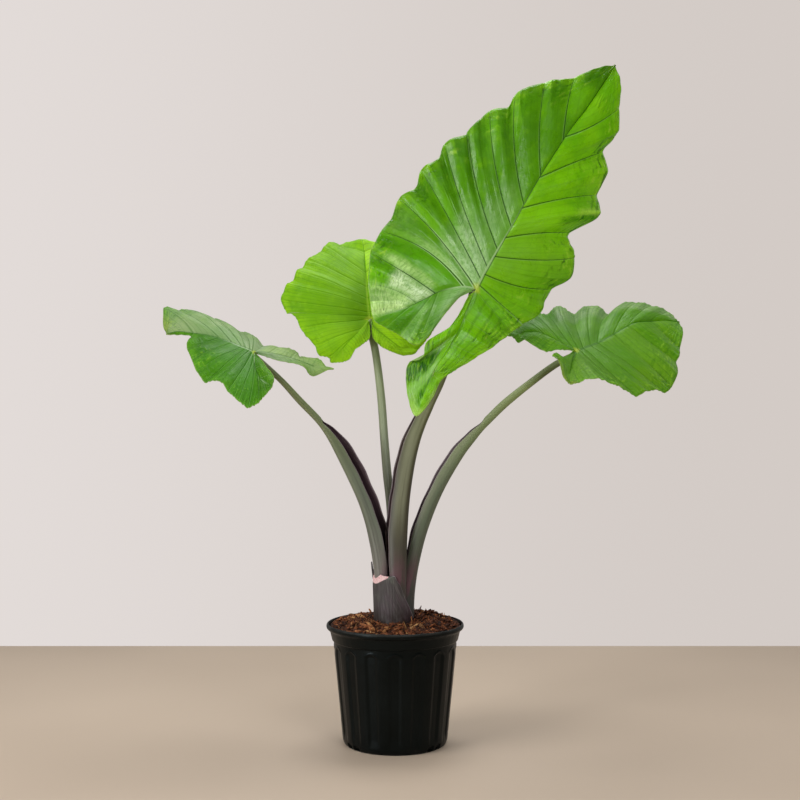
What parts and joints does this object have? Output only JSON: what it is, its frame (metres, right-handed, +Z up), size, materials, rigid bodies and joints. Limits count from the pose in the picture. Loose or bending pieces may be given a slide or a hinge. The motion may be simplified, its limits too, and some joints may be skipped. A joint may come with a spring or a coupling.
{
  "type": "potted giant taro plant",
  "caption": "Potted giant taro: broad arrow-shaped leaves on long sheathing stalks that rise from soil in a fluted black nursery pot with a flared rim.",
  "frame": {"origin": "centre of the pot's base, on the surface it stands on", "axes": "+Z up; +X to the right and +Y away as the plant is seen from its front, the side of the cut sheath"},
  "size_m": [1.0201, 0.4781, 1.3029],
  "materials": {
    "pot_plastic": "satin black, blow moulded",
    "soil": "loose bark and coir chips",
    "corm": "dull, fibrous",
    "stalk": "satin, waxy bloom",
    "sheath": "dull, fibrous",
    "leaf_front": "satin, waxy, veined",
    "leaf_left": "satin, waxy, veined",
    "leaf_right": "satin, waxy, veined",
    "leaf_back": "matt, young, veined"
  },
  "bodies": {
    "root": {"nursery_pot": "pot_plastic", "potting_soil": "soil", "corm": "corm", "stalk_front": "stalk", "stalk_left": "stalk", "stalk_right": "stalk", "stalk_back": "stalk", "cut_sheath": "sheath", "leaf_front": "leaf_front", "leaf_left": "leaf_left", "leaf_right": "leaf_right", "leaf_back": "leaf_back"}
  },
  "joints": []
}
